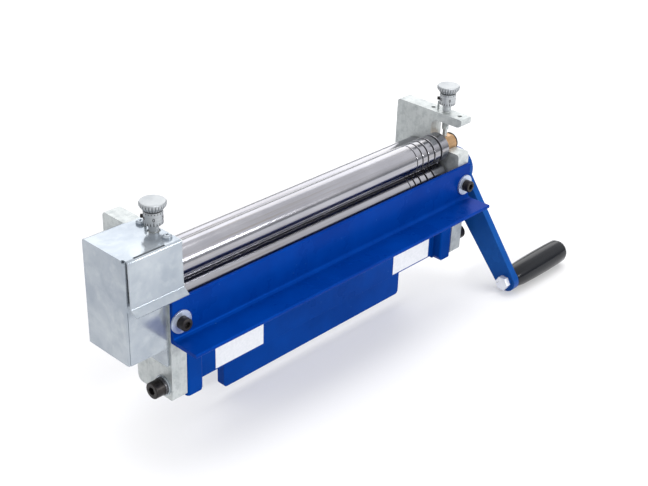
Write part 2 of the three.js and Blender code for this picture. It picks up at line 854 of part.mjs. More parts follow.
const coverScrewLength = 10;
piece('cover_screw_front', panScrewZ(-plateMid, rollAxisY - armHoleOffset, coverTop, coverScrewLength), zinc);
piece('cover_screw_rear', panScrewZ(-plateMid, rollAxisY + armHoleOffset, coverTop, coverScrewLength), zinc);

function panScrewX(y, z) {
  const face = -halfOutside - backplateThickness;
  return turnedX([
    [0, face + 9],
    [m4.shank, face + 9],
    [m4.shank, face],
    [m4.head, face],
    [m4.head, face - 1],
    [m4.head * 0.6, face - 1.9],
    [0, face - 1.9],
  ], y, z, pinFacets);
}

piece('backplate_screw_low', panScrewX(...backplateScrews[0]), zinc);
piece('backplate_screw_high', panScrewX(...backplateScrews[1]), zinc);

// Front angle bar.

const angleFlangeBottom = angleFlangeTop - angleThickness;
const angleProfile = rounded([
  [0, angleFlangeBottom, 1.5],
  [0, angleTop, 0.6],
  [-angleThickness, angleTop, 0.6],
  [-angleThickness, angleFlangeTop, angleRootRadius],
  [-angleFlangeReach, angleFlangeTop, 0.8],
  [-angleFlangeReach, angleFlangeBottom, 0.8],
]);
const angleBlank = alongX(outline(angleProfile), -halfOutside, halfOutside);
function angleHole(x) {
  return rodY(m6.shank + clearanceHole, x, barBoltZ, -angleThickness - 2, 2);
}
piece('front_angle_bar', carve([angleBlank], [angleHole(-plateMid), angleHole(plateMid)]), blueFlange);

// Lower cross member and vice tang.

function crossMember() {
  const inner = halfInside - blockWidth;
  const panelBack = panelSetback + panelThickness;
  const plan = rounded([
    [-halfInside, 0, 2.5],
    [-inner, 0, 2],
    [-inner, panelSetback, 1.5],
    [inner, panelSetback, 1.5],
    [inner, 0, 2],
    [halfInside, 0, 2.5],
    [halfInside, blockDepth, 1],
    [inner, blockDepth, 1],
    [inner, panelBack, 1.5],
    [-inner, panelBack, 1.5],
    [-inner, blockDepth, 1],
    [-halfInside, blockDepth, 1],
  ], 3);
  const body = alongZ(outline(plan), 0, blockHeight);
  const foot = rounded([
    [inner, 0, 2],
    [halfInside, 0, 2.5],
    [halfInside, blockDepth, 1],
    [inner, blockDepth, 1],
  ], 3);
  const footBlock = alongZ(outline(foot), -blockDrop, 1);
  const lipBack = panelBack + panelFlangeDepth;
  const lipBottom = blockHeight - panelLipThickness;
  const lip = box(-inner - 1, inner + 1, panelBack - 1, lipBack, lipBottom, blockHeight);
  // The lower inner corner of each block is cut off at a slant.
  const slant = alongY(outline([
    new THREE.Vector2(inner - 1, -blockDrop - 1),
    new THREE.Vector2(inner + 3, -blockDrop - 1),
    new THREE.Vector2(inner - 1, -blockDrop + 5),
  ]), -1, panelSetback - 0.5);
  const threadRadius = m8.shank + tappedClearance;
  const threadEnd = halfInside - sideBoltReach - sideBoltTapping;
  const thread = rodX(threadRadius, sideBoltY, sideBoltZ, threadEnd, halfInside + 2, washerFacets);
  const solids = [body, lip, footBlock, mirroredX(footBlock)];
  return carve(solids, [slant, mirroredX(slant), thread, mirroredX(thread)]);
}

piece('cross_member', crossMember(), bluePanel);

const tangFront = panelSetback + panelThickness;
const tangShape = rounded([
  [-tangLength / 2, -tangDrop, tangCornerRadius],
  [tangLength / 2, -tangDrop, tangCornerRadius],
  [tangLength / 2, tangTop, 2],
  [-tangLength / 2, tangTop, 2],
], 6);
const tangBlank = alongY(outline(tangShape), tangFront, tangFront + tangThickness);
// The jaw faces are below the cross member, and the part behind it is relieved to go in freely.
const tangCut = box(-tangLength, tangLength, tangFront - 1, tangFront + tangRelief, -tangRelief, tangTop + 1);
piece('vice_tang', carve([tangBlank], [tangCut]), bluePanel);

// Cap screws and washers.

// Socket cap screw profile along an axis: head outward from the seat, shank the other way.
function capProfile(size, seat, outward, length) {
  const head = seat + outward * size.headHeight;
  return [
    [0, seat - outward * length],
    [size.shank - 0.4, seat - outward * length],
    [size.shank, seat - outward * (length - 0.6)],
    [size.shank, seat],
    [size.head, seat],
    [size.head, head - outward * 0.5],
    [size.head - 0.5, head],
    [0, head],
  ];
}

const barWasherThickness = 1.6;
const barWasherRadius = 9;
function barBolt(x) {
  const seat = -angleThickness - barWasherThickness;
  const screw = turnedY(capProfile(m6, seat, -1, 15), x, barBoltZ, screwFacets);
  const face = seat - m6.headHeight;
  const socket = alongY(outline(hexagon(x, barBoltZ, 2 * m6.socket)), face - 1, face + m6.socketDepth);
  return carve([screw], [socket]);
}

function barWasher(x) {
  const hole = circle(x, barBoltZ, m6.shank + 0.3, screwFacets);
  const shape = outline(circle(x, barBoltZ, barWasherRadius), [hole]);
  return alongY(shape, -angleThickness - barWasherThickness, -angleThickness);
}

piece('bar_bolt_left', barBolt(-plateMid), blackOxide);
piece('bar_bolt_right', barBolt(plateMid), blackOxide);
piece('bar_washer_left', barWasher(-plateMid), whiteWasher);
piece('bar_washer_right', barWasher(plateMid), whiteWasher);

const flatWasherThickness = 1.4;
const springWasherThickness = 2;
const sideSeat = halfOutside + flatWasherThickness + springWasherThickness;

function sideBolt() {
  const profile = capProfile(m8, sideSeat, 1, sideSeat - halfInside + sideBoltReach);
  const screw = turnedX(profile, sideBoltY, sideBoltZ, washerFacets);
  const face = sideSeat + m8.headHeight;
  const key = outline(hexagon(sideBoltY, sideBoltZ, 2 * m8.socket));
  return carve([screw], [alongX(key, face - m8.socketDepth, face + 1)]);
}

function sideWasher(outer, from, thickness, split) {
  const ring = ringX(outer, m8.shank + 0.3, sideBoltY, sideBoltZ, from, from + thickness, washerFacets);
  if (!split) return ring;
  const end = from + thickness + 1;
  const gap = box(from - 1, end, sideBoltY, sideBoltY + 12, sideBoltZ - 0.5, sideBoltZ + 0.5);
  return carve([ring], [gap]);
}

const flatWasher = sideWasher(8, halfOutside, flatWasherThickness, false);
const springWasher = sideWasher(7, halfOutside + flatWasherThickness, springWasherThickness, true);
piece('side_bolt_left', mirroredX(sideBolt()), blackOxide);
piece('side_bolt_right', sideBolt(), blackOxide);
piece('side_washer_left', mirroredX(flatWasher), zinc);
piece('side_washer_right', flatWasher, zinc);
piece('side_spring_washer_left', mirroredX(springWasher), springSteel);
piece('side_spring_washer_right', springWasher, springSteel);

// Thumb screws.

// A ring of ridge points: every other point sits in a valley.
function ridgeRing(radius, depth, ridges, z) {
  const points = [];
  for (let i = 0; i < ridges * 2; i += 1) {
    const angle = (Math.PI * i) / ridges;
    const r = i % 2 ? radius - depth : radius;
    points.push(new THREE.Vector2(r * Math.cos(angle), r * Math.sin(angle)));
  }
  return { points, z };
}

const bossBottom = coverTop + bossRunningGap;
const collarBottom = bossBottom + bossHeight;
const collarTop = collarBottom + collarHeight;
const knobTaperBottom = collarTop + 1.2;
const knobRimBottom = knobTaperBottom + 3;
const knobTop = knobRimBottom + 3;

function thumbScrew(x) {
  return turnedZ([
    [0, upperBushTop],
    [screwTipRadius, upperBushTop],
    [screwTipRadius, upperBushTop + screwTipLength],
    [screwRadius, upperBushTop + screwTipLength + 1],
    [screwRadius, knobRimBottom],
    [0, knobRimBottom],
  ], x, rollAxisY, screwFacets);
}

// Turns a piece, drawn on the axis and facing rearward, to where the set screw is, and puts it on the knob.
function aimed(geometry, x) {
  return geometry.rotateZ(THREE.MathUtils.degToRad(setScrewAngle)).translate(x, rollAxisY, 0);
}

// Knurled knob over a graduated collar, in one piece as turned, bored for the screw.
function thumbKnob(x) {
  const turnedPart = turnedZ([
    [0, bossBottom],
    [bossRadius, bossBottom],
    [bossRadius, collarBottom],
    [collarRadius - 0.4, collarBottom],
    [collarRadius, collarBottom + 0.4],
    [collarRadius, collarTop - 0.3],
    [collarRadius - 0.3, collarTop],
    [knobWaistRadius - 1, collarTop],
    [knobWaistRadius - 1, knobTaperBottom + 0.3],
    [0, knobTaperBottom + 0.3],
  ], x, rollAxisY, bushFacets);
  const rings = [
    ridgeRing(knobWaistRadius, knobRidgeDepth, knobRidges, knobTaperBottom),
    ridgeRing(knobRadius, knobRidgeDepth, knobRidges, knobRimBottom),
    ridgeRing(knobRadius, knobRidgeDepth, knobRidges, knobTop - 0.8),
    ridgeRing(knobRadius - 0.8, 0, knobRidges, knobTop - 0.2),
    ridgeRing(knobRadius - 2.6, 0, knobRidges, knobTop),
  ];
  const bore = rodZ(screwRadius + bushFitClearance, x, rollAxisY, bossBottom - 1, knobRimBottom);
  const holeRadius = setScrewRadius + bushFitClearance;
  const holeZ = collarBottom + setScrewHeight;
  const hole = rodY(holeRadius, 0, holeZ, screwRadius - 1, collarRadius + 5, pinFacets);
  return carve([turnedPart, loftZ(rings, x, rollAxisY)], [bore, aimed(hole, x)]);
}

// Set screw that locks the graduated collar, standing a little proud at its left rear.
function collarSetScrew(x) {
  const start = screwRadius + sheetGap;
  const end = collarRadius + setScrewProud;
  const screw = turnedY([
    [0, start],
    [setScrewRadius, start],
    [setScrewRadius, end],
    [0, end],
  ], 0, collarBottom + setScrewHeight, pinFacets);
  return aimed(screw, x);
}

// Pin in the arm that the collar's graduations are read against.
function indexPin(x) {
  const top = plateHeight + indexPinHeight;
  return turnedZ([
    [0, plateHeight - indexPinDepth],
    [indexPinRadius, plateHeight - indexPinDepth],
    [indexPinRadius, top - 0.6],
    [indexPinRadius / 2, top],
    [0, top],
  ], x, rollAxisY + indexPinOffset, pinFacets);
}

for (const [side, x] of [['left', -plateMid], ['right', plateMid]]) {
  piece(`thumb_screw_${side}`, thumbScrew(x), plateSteel);
  piece(`thumb_knob_${side}`, thumbKnob(x), satinKnob);
  piece(`collar_set_screw_${side}`, collarSetScrew(x), blackOxide);
  piece(`index_pin_${side}`, indexPin(x), plateSteel);
}

// Rear adjusting screws.

const rearScrewTop = rearRollZ - bushRadius + 0.8;
const rearKnobRadius = 6.4;
const rearKnobHeight = 9;
const rearKnobTop = overhangHeight - rearTravelUp - overhangFillet + 3;
function rearScrew(x) {
  return turnedZ([
    [0, rearKnobTop - rearKnobHeight],
    [screwRadius, rearKnobTop - rearKnobHeight],
    [screwRadius, rearScrewTop - 1],
    [screwRadius - 1, rearScrewTop],
    [0, rearScrewTop],
  ], x, rearRollY, screwFacets);
}

function rearKnob(x) {
  const bottom = rearKnobTop - rearKnobHeight;
  const rings = [
    ridgeRing(rearKnobRadius - 0.6, 0.35, 20, bottom),
    ridgeRing(rearKnobRadius, 0.35, 20, bottom + 0.6),
    ridgeRing(rearKnobRadius, 0.35, 20, rearKnobTop - 0.6),
    ridgeRing(rearKnobRadius - 0.6, 0.35, 20, rearKnobTop),
  ];
  const bore = rodZ(screwRadius + bushFitClearance, x, rearRollY, bottom - 1, rearKnobTop + 1);
  return carve([loftZ(rings, x, rearRollY)], [bore]);
}

for (const [side, x] of [['left', -plateMid], ['right', plateMid]]) {
  piece(`rear_screw_${side}`, rearScrew(x), blackOxide);
  piece(`rear_knob_${side}`, rearKnob(x), satinKnob);
}

// Crank.

// Outline of the tapered arm: two round ends joined by their common tangents.
function armOutline() {
  const taper = Math.asin((crankRootRadius - crankTipRadius) / crankLength);
  const deg = crankAngle;
  const lean = THREE.MathUtils.radToDeg(taper);
  return [
    ...arc(rollAxisY, lowerRollZ, crankRootRadius, deg + 90 - lean, deg + 270 + lean, 24),
    ...arc(crankTipY, crankTipZ, crankTipRadius, deg - 90 + lean, deg + 90 - lean, 16),
  ];
}

// Leans the flat arm outward, so that it clears the side bolt and still starts close to the plate.
function leaned(flat) {
  const alongArm = new THREE.Matrix4().set(
    1, crankSlope * Math.cos(crankDirection), crankSlope * Math.sin(crankDirection), 0,
    0, 1, 0, 0,
    0, 0, 1, 0,
    0, 0, 0, 1,
  );
  return flat
    .translate(0, -rollAxisY, -lowerRollZ)
    .applyMatrix4(alongArm)
    .translate(0, rollAxisY, lowerRollZ);
}

function crankArm() {
  const inner = halfOutside + crankStandOff;
  const arm = leaned(alongX(outline(armOutline()), inner, inner + crankThickness));
  const spigotStart = halfOutside + crankHubGap;
  const hub = turnedX([
    [0, spigotStart],
    [crankSpigotRadius, spigotStart],
    [crankSpigotRadius, inner + crankThickness / 2],
    [crankHubRadius, inner + crankThickness / 2],
    [crankHubRadius, crankHubFace - 1],
    [crankHubRadius - 1, crankHubFace],
    [0, crankHubFace],
  ], rollAxisY, lowerRollZ, rollFacets);
  const headFacing = rodX(gripBoltFlats * 0.62, crankTipY, crankTipZ, crankTipInner, crankTipMid, bushFacets);
  const gripFacing = rodX(crankTipRadius - 0.4, crankTipY, crankTipZ, crankTipMid, crankTipOuter, bushFacets);
  const seatRadius = crankSeatRadius + bushFitClearance;
  const seatTop = crankFlatZ + bushFitClearance;
  const entry = rodX(seatRadius, rollAxisY, lowerRollZ, halfOutside, crankFlatStart + 0.1, rollFacets);
  const round = rodX(seatRadius, rollAxisY, lowerRollZ, crankFlatStart - 1, crankHubFace + 2, rollFacets);
  const above = box(halfOutside, crankHubFace + 3, rollAxisY - 8, rollAxisY + 8, seatTop, seatTop + 8);
  const seat = carve([round], [above]);
  const boltHole = m8.shank + bushFitClearance;
  const tipHole = rodX(boltHole, crankTipY, crankTipZ, crankTipInner - 2, crankTipOuter + 2);
  return carve([arm, hub, headFacing, gripFacing], [entry, seat, tipHole]);
}

piece('crank_arm', crankArm(), blueCrank);

const hubWasherThickness = 1.6;
const hubWasherShape = outline(
  circle(rollAxisY, lowerRollZ, barWasherRadius),
  [circle(rollAxisY, lowerRollZ, m6.shank + 0.3, screwFacets)],
);
const hubWasher = alongX(hubWasherShape, crankHubFace, crankHubFace + hubWasherThickness);
piece('crank_washer', hubWasher, zinc);

function crankScrew() {
  const seat = crankHubFace + hubWasherThickness;
  const screw = turnedX(capProfile(m6, seat, 1, crankScrewDepth), rollAxisY, lowerRollZ, screwFacets);
  const face = seat + m6.headHeight;
  const key = outline(hexagon(rollAxisY, lowerRollZ, 2 * m6.socket));
  return carve([screw], [alongX(key, face - m6.socketDepth, face + 1)]);
}

piece('crank_screw', crankScrew(), blackOxide);

// Bolt the grip turns on, its hexagon head on the machine side of the arm.
const gripBoltRadius = 4;
const gripBoltHead = 5;
const gripStart = crankTipOuter + gripRunningGap;
const gripBoltReach = gripLength - gripEndWall;
const hexShape = outline(hexagon(crankTipY, crankTipZ, gripBoltFlats));
const hexHead = alongX(hexShape, crankTipInner - gripBoltHead, crankTipInner);
const gripShank = turnedX([
  [0, crankTipInner - 1],
  [gripBoltRadius, crankTipInner - 1],
  [gripBoltRadius, gripStart + gripBoltReach - 0.5],
  [gripBoltRadius - 0.5, gripStart + gripBoltReach],
  [0, gripStart + gripBoltReach],
], crankTipY, crankTipZ, screwFacets);
piece('grip_bolt', carve([hexHead, gripShank]), zinc);

function grip() {
  const end = gripStart + gripLength;
  const outer = [
    [0, gripStart],
    [gripRootRadius - 0.8, gripStart],
    [gripRootRadius, gripStart + 0.8],
    [gripRootRadius + 1.4, gripStart + gripLength * 0.16],
    [gripEndRadius - 0.1, gripStart + gripLength * 0.36],
    [gripEndRadius + 0.1, gripStart + gripLength * 0.58],
    [gripEndRadius, end - gripLength * 0.2],
    [gripEndRadius - 0.3, end - 5],
    [gripEndRadius - 1.6, end - 2],
    [gripEndRadius - 4.6, end - 0.3],
    [0, end],
  ];
  const body = turnedX(outer, crankTipY, crankTipZ, rollFacets);
  const boreEnd = gripStart + gripBoltReach + 0.6;
  const bore = rodX(gripBoltRadius + journalClearance, crankTipY, crankTipZ, gripStart - 1, boreEnd);
  return carve([body], [bore]);
}

piece('crank_grip', grip(), blackPlastic);

export default group;
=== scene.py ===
import json
import math

import bmesh
import bpy
from mathutils import Matrix, Vector


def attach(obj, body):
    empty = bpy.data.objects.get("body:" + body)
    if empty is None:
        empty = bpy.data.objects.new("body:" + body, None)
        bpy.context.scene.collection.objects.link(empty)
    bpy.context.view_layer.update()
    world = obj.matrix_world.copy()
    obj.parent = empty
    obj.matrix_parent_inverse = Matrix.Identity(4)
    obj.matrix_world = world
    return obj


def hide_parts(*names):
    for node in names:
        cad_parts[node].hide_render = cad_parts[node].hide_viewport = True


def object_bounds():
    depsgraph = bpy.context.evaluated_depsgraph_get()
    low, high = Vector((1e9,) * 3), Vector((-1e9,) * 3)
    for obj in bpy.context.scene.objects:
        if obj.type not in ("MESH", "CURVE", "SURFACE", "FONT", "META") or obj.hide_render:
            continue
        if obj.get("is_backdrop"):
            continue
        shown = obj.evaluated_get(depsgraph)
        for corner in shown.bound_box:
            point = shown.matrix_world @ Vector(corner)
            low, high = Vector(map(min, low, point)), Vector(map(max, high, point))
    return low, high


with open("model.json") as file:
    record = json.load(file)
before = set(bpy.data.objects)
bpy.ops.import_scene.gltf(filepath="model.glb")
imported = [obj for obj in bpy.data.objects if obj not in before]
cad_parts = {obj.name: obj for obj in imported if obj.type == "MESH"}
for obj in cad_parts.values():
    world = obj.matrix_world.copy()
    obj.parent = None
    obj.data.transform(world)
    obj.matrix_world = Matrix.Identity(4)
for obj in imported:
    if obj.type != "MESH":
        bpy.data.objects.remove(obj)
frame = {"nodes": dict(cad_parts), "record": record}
cad_low, cad_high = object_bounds()
BODIES = frame["record"]["behaviour"]["bodies"]
BODY_OF = {node: body for body, nodes in BODIES.items() for node in nodes}
SLOT_OF = {part["node"]: part["material_slot"] for part in frame["record"]["subparts"]}

# Sizes in metres that both the materials and the shapes follow
ROLL_LENGTH = 0.305
ROLL_RADIUS = 0.013
GROOVE_FLOOR = 0.0117  # just under the deepest wire groove
KNOB_RIDGES = 26
# Heights over a thumb knob's foot where its knurled rim, and the groove below that, start and end
KNOB_RIM = ((0.0166, 0.0169), (0.0210, 0.0218))
KNOB_WAIST = ((0.0154, 0.0157), (0.0168, 0.0170))


# Materials

class Graph:
    """A material's node tree with short calls for the nodes that the finishes use."""

    # The Mix node's colour sockets, which share their names with its other sockets
    MIX_COLOURS = (6, 7)
    MIX_RESULT = 2

    def __init__(self, name):
        self.material = bpy.data.materials.new(name)
        self.material.use_nodes = True
        self.tree = self.material.node_tree
        self.shader = self.tree.nodes["Principled BSDF"]
        self.place = self.add("ShaderNodeTexCoord").outputs["Object"]

    def add(self, kind, **settings):
        node = self.tree.nodes.new(kind)
        for key, value in settings.items():
            setattr(node, key, value)
        return node

    def link(self, output, socket):
        self.tree.links.new(output, socket)

    def set(self, **values):
        for key, value in values.items():
            self.shader.inputs[key.replace("_", " ")].default_value = value

    def scaled(self, x, y, z):
        node = self.add("ShaderNodeMapping")
        node.inputs["Scale"].default_value = (x, y, z)
        self.link(self.place, node.inputs["Vector"])
        return node.outputs["Vector"]

    def noise(self, scale, detail=4.0, roughness=0.55, stretch=(1, 1, 1), distortion=0.0):
        node = self.add("ShaderNodeTexNoise")
        node.inputs["Scale"].default_value = scale
        node.inputs["Detail"].default_value = detail
        node.inputs["Roughness"].default_value = roughness
        node.inputs["Distortion"].default_value = distortion
        self.link(self.scaled(*stretch), node.inputs["Vector"])
        return node.outputs["Fac"]

    def spots(self, scale, stretch=(1, 1, 1)):
        node = self.add("ShaderNodeTexVoronoi")
        node.inputs["Scale"].default_value = scale
        self.link(self.scaled(*stretch), node.inputs["Vector"])
        return node.outputs["Distance"]

    def ramp(self, value, low, high, start=0.35, end=0.65):
        """A value between low and high, which are numbers, as the input goes from start to end."""
        node = self.add("ShaderNodeMapRange")
        node.inputs["From Min"].default_value = start
        node.inputs["From Max"].default_value = end
        node.inputs["To Min"].default_value = low
        node.inputs["To Max"].default_value = high
        self.link(value, node.inputs["Value"])
        return node.outputs["Result"]

    def band(self, value, rise, fall):
        """1 while the input is between rise and fall, each a (start, end) pair, and 0 outside."""
        return self.math("MULTIPLY", self.ramp(value, 0, 1, *rise), self.ramp(value, 1, 0, *fall))

    def blend(self, factor, first, second):
        """A colour between two, each an (r, g, b) or another output."""
        node = self.add("ShaderNodeMix", data_type="RGBA")
        self.link(factor, node.inputs["Factor"])
        for index, value in zip(self.MIX_COLOURS, (first, second)):
            if isinstance(value, tuple):
                node.inputs[index].default_value = (*value, 1)
            else:
                self.link(value, node.inputs[index])
        return node.outputs[self.MIX_RESULT]

    def math(self, operation, first, second=0.0):
        node = self.add("ShaderNodeMath", operation=operation)
        for index, value in ((0, first), (1, second)):
            if isinstance(value, (int, float)):
                node.inputs[index].default_value = value
            else:
                self.link(value, node.inputs[index])
        return node.outputs[0]

    def bump(self, height, strength, distance=0.001, after=None):
        node = self.add("ShaderNodeBump")
        node.inputs["Strength"].default_value = strength
        node.inputs["Distance"].default_value = distance
        self.link(height, node.inputs["Height"])
        if after is not None:
            self.link(after, node.inputs["Normal"])
        return node.outputs["Normal"]

    def finish(self, colour, roughness, normal=None):
        self.link(colour, self.shader.inputs["Base Color"])
        self.link(roughness, self.shader.inputs["Roughness"])
        if normal is not None:
            self.link(normal, self.shader.inputs["Normal"])
        return self.material


def satin_steel():
    """Ground steel plates: cloudy, finely ground and mottled."""
    g = Graph("satin_steel")
    g.set(Metallic=0.5)
    cloud = g.noise(28, 5)
    mottle = g.noise(420, 5, 0.65)
    grind = g.noise(1, 6, 0.7, stretch=(900, 900, 60))
    colour = g.blend(g.ramp(cloud, 0, 1, 0.3, 0.7), (0.40, 0.43, 0.43), (0.52, 0.55, 0.545))
    colour = g.blend(g.ramp(grind, 0, 0.35, 0.35, 0.7), colour, (0.66, 0.68, 0.675))
    colour = g.blend(g.ramp(mottle, 0, 0.45, 0.5, 0.75), colour, (0.24, 0.27, 0.28))
    blotch = g.noise(150, 4, 0.6)
    colour = g.blend(g.ramp(blotch, 0, 0.45, 0.48, 0.66), colour, (0.25, 0.28, 0.29))
    rough = g.ramp(g.noise(70, 4), 0.30, 0.50, 0.3, 0.7)
    normal = g.bump(grind, 0.10, 0.0004)
    normal = g.bump(mottle, 0.10, 0.0004, normal)
    return g.finish(colour, rough, normal)


def bright_zinc():
    """Zinc plated sheet: soft clouds, darker and lighter patches, small rough spots."""
    g = Graph("bright_zinc")
    g.set(Metallic=0.6)
    cloud = g.noise(17, 5, 0.6)
    streak = g.noise(1, 4, 0.6, stretch=(40, 40, 300))
    colour = g.blend(g.ramp(cloud, 0, 1, 0.35, 0.65), (0.32, 0.36, 0.41), (0.46, 0.50, 0.53))
    patches = g.noise(48, 3, 0.5, distortion=0.6)
    colour = g.blend(g.ramp(patches, 0, 0.42, 0.46, 0.68), colour, (0.22, 0.26, 0.31))
    bloom = g.noise(110, 4, 0.6)
    colour = g.blend(g.ramp(bloom, 0, 0.30, 0.52, 0.70), colour, (0.52, 0.56, 0.58))
    spots = g.ramp(g.spots(160), 0.06, 0.0, 0.0, 0.12)
    rough = g.math("ADD", g.ramp(streak, 0.14, 0.22, 0.3, 0.7), spots)
    normal = g.bump(cloud, 0.10, 0.004)
    normal = g.bump(g.noise(420, 2), 0.03, 0.0003, normal)
    return g.finish(colour, rough, normal)


def polished_steel():
    """Polished rolls: turning marks, lengthwise streaks, and wire grooves darkened with painted
    shade and made rougher.
    """
    g = Graph("polished_steel")
    g.set(Metallic=1.0)
    turning = g.noise(1, 6, 0.75, stretch=(1500, 30, 30))
    cloud = g.noise(14, 3)
    colour = g.blend(g.ramp(cloud, 0, 1, 0.35, 0.65), (0.32, 0.32, 0.35), (0.40, 0.40, 0.43))
    streak = g.noise(1, 5, 0.65, stretch=(7, 420, 420))
    colour = g.blend(g.ramp(streak, 0, 0.55, 0.50, 0.66), colour, (0.27, 0.25, 0.23))
    across = g.add("ShaderNodeVectorMath", operation="MULTIPLY")
    across.inputs[1].default_value = (0, 1, 1)
    g.link(g.place, across.inputs[0])
    radius = g.add("ShaderNodeVectorMath", operation="LENGTH")
    g.link(across.outputs[0], radius.inputs[0])
    groove = g.band(
        radius.outputs["Value"],
        (GROOVE_FLOOR - 0.0003, GROOVE_FLOOR - 0.0001),
        (ROLL_RADIUS - 0.0005, ROLL_RADIUS - 0.0001),
    )
    # painted shade: darker colour wherever the surface lies between GROOVE_FLOOR and just under
    # ROLL_RADIUS, that is in the wire grooves and on the rolls' end chamfers
    colour = g.blend(groove, colour, (0.03, 0.03, 0.034))
    rough = g.ramp(turning, 0.13, 0.23, 0.25, 0.75)
    rough = g.math("ADD", rough, g.math("MULTIPLY", groove, 0.4))
    rough = g.math("ADD", rough, g.ramp(streak, 0.0, 0.06, 0.50, 0.66))
    return g.finish(colour, rough, g.bump(turning, 0.05, 0.0002))


def bronze():
    """Bronze bushes, finely grained."""
    g = Graph("bronze")
    g.set(Metallic=0.85)
    grain = g.noise(700, 4)
    colour = g.blend(g.ramp(grain, 0, 1, 0.3, 0.7), (0.36, 0.215, 0.105), (0.48, 0.31, 0.17))
    rough = g.ramp(g.noise(120, 3), 0.34, 0.5)
    return g.finish(colour, rough, g.bump(grain, 0.12, 0.0003))


def gear_steel():
    """Machined steel, darker than the rolls."""
    g = Graph("gear_steel")
    g.set(Metallic=0.9)
    turning = g.noise(1, 5, 0.7, stretch=(80, 900, 900))
    colour = g.blend(g.ramp(turning, 0, 1, 0.3, 0.7), (0.20, 0.21, 0.21), (0.38, 0.39, 0.39))
    rough = g.ramp(g.noise(90, 3), 0.30, 0.5)
    return g.finish(colour, rough, g.bump(turning, 0.1, 0.0003))


def blue_enamel(name, dark, light, rough_low=0.22, rough_high=0.34, gloss=0.05):
    """Sprayed paint: slightly cloudy, with orange peel and small lighter specks."""
    g = Graph(name)
    g.set(Metallic=0.15, Specular_IOR_Level=gloss, Specular_Tint=(0.05, 0.36, 1.0, 1))
    cloud = g.noise(16, 4, 0.6)
    peel = g.noise(340, 2, 0.5)
    specks = g.ramp(g.spots(110), 1.0, 0.0, 0.0, 0.06)
    colour = g.blend(g.ramp(cloud, 0, 1, 0.3, 0.7), dark, light)
    colour = g.blend(g.math("MULTIPLY", specks, 0.5), colour, (0.10, 0.24, 0.55))
    rough = g.ramp(cloud, rough_low, rough_high)
    normal = g.bump(peel, 0.07, 0.0006)
    normal = g.bump(specks, 0.15, 0.0003, normal)
    return g.finish(colour, rough, normal)


def black_oxide():
    """Blackened screws, with a faint brown grain."""
    g = Graph("black_oxide")
    g.set(Metallic=0.5, Specular_IOR_Level=0.3)
    grain = g.noise(900, 3)
    cloud = g.ramp(g.noise(160, 4), 0, 1, 0.3, 0.7)
    colour = g.blend(cloud, (0.010, 0.009, 0.010), (0.035, 0.031, 0.030))
    rough = g.ramp(grain, 0.30, 0.48, 0.3, 0.7)
    return g.finish(colour, rough, g.bump(grain, 0.12, 0.0002))


def spring_steel():
    """Dark blued spring washers and retaining rings."""
    g = Graph("spring_steel")
    g.set(Metallic=0.8)
    grain = g.noise(700, 3)
    colour = g.blend(g.ramp(grain, 0, 1, 0.3, 0.7), (0.06, 0.06, 0.065), (0.13, 0.13, 0.14))
    rough = g.ramp(g.noise(200, 3), 0.25, 0.42)
    return g.finish(colour, rough, g.bump(grain, 0.08, 0.0002))


def white_zinc(name, dark, light):
    """Bluish white plating on small fasteners."""
    g = Graph(name)
    g.set(Metallic=0.55)
    cloud = g.noise(120, 4)
    colour = g.blend(g.ramp(cloud, 0, 1, 0.3, 0.7), dark, light)
    return g.finish(colour, g.ramp(cloud, 0.24, 0.38), g.bump(g.noise(600, 3), 0.06, 0.0002))


def knob_steel(name, knurled):
    """Turned steel; a knurled knob's valleys and the groove over its collar are darkened with
    painted shade.
    """
    g = Graph(name)
    g.set(Metallic=0.5)
    turning = g.noise(1, 5, 0.7, stretch=(60, 60, 1400))
    colour = g.blend(g.ramp(turning, 0, 1, 0.3, 0.7), (0.31, 0.33, 0.35), (0.45, 0.47, 0.48))
    if knurled:
        parts = g.add("ShaderNodeSeparateXYZ")
        g.link(g.place, parts.inputs["Vector"])
        height = parts.outputs["Z"]
        angle = g.math("ARCTAN2", parts.outputs["Y"], parts.outputs["X"])
        ridges = g.math("COSINE", g.math("MULTIPLY", angle, KNOB_RIDGES))
        # painted shade: darker colour in the knurl's valleys on the rim
        valley = g.math("MULTIPLY", g.ramp(ridges, 0.8, 0, -0.9, 0.1), g.band(height, *KNOB_RIM))
        colour = g.blend(valley, colour, (0.06, 0.065, 0.07))
        # painted shade: the groove over the collar is painted dark
        colour = g.blend(g.band(height, *KNOB_WAIST), colour, (0.04, 0.045, 0.05))
    rough = g.ramp(g.noise(150, 4), 0.28, 0.42)
    return g.finish(colour, rough, g.bump(turning, 0.10, 0.0002))


def black_plastic():
    """Moulded grip, glossy, with faint flow lines along it."""
    g = Graph("black_plastic")
    g.set(Metallic=0.0, Specular_IOR_Level=0.26)
    flow = g.noise(1, 4, 0.6, stretch=(8, 160, 160))
    colour = g.blend(g.ramp(flow, 0, 1, 0.3, 0.7), (0.002, 0.003, 0.005), (0.007, 0.008, 0.011))
    rough = g.ramp(flow, 0.12, 0.24, 0.3, 0.7)
    normal = g.bump(flow, 0.25, 0.0010)
    return g.finish(colour, rough, g.bump(g.noise(800, 2), 0.04, 0.0002, normal))


def label_paper():
    """Blank white sticker."""
    g = Graph("label_paper")
    g.set(Metallic=0.0)
    fibre = g.noise(500, 4)
    colour = g.blend(g.ramp(fibre, 0, 1, 0.3, 0.7), (0.60, 0.62, 0.65), (0.68, 0.69, 0.72))
    rough = g.ramp(g.noise(60, 3), 0.32, 0.45)
    return g.finish(colour, rough, g.bump(fibre, 0.03, 0.0002))


def engraving_ink():
    """Black paint in the collars' marks."""
    g = Graph("engraving_ink")
    g.set(Metallic=0.0)
    grain = g.noise(900, 3)
    colour = g.blend(g.ramp(grain, 0, 1, 0.3, 0.7), (0.010, 0.010, 0.012), (0.035, 0.035, 0.04))
    return g.finish(colour, g.ramp(grain, 0.5, 0.7), g.bump(grain, 0.1, 0.0001))


